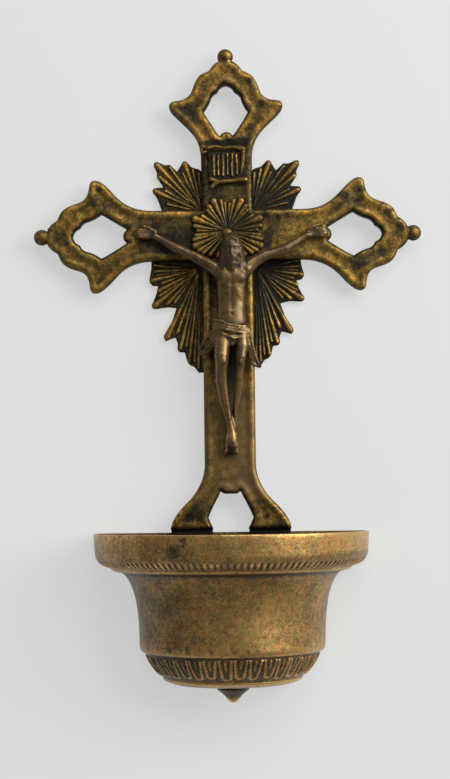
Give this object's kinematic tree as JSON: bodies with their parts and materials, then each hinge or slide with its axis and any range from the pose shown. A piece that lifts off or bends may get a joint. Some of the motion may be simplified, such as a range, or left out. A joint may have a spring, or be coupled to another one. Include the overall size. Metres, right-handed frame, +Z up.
{
  "type": "holy water stoup",
  "caption": "Wall-hung holy water stoup: a cast crucifix with openwork ends and rays stands on a half-round basin, with a swinging ring behind to hang it.",
  "frame": {"origin": "middle of the face that rests on the wall, on the basin's back plate, 20 mm below the rim", "axes": "+Z up along the cross, +Y into the wall, +X to the right seen from the front"},
  "size_m": [0.1364, 0.0498, 0.2285],
  "materials": {
    "brass": "antiqued",
    "copper": "antiqued",
    "steel": "dull"
  },
  "bodies": {
    "stoup": {"cross": "brass", "ray_plate": "brass", "nimbus": "brass", "glory_rivet": "brass", "title_scroll": "brass", "corpus": "copper", "hand_nail_left": "copper", "hand_nail_right": "copper", "foot_nail": "copper", "basin": "brass", "back_plate": "brass", "finial": "brass", "foot_rivet_left": "brass", "foot_rivet_right": "brass", "hanger_strap": "steel", "hanger_rivet": "steel"},
    "ring": {"hanger_ring": "steel"}
  },
  "joints": [
    {"name": "ring_swing", "type": "hinge", "parent": "stoup", "child": "ring", "pos_m": [0, -0.00215, 0.1436], "axis": [1, 0, 0], "range_deg": [0, 180]}
  ]
}
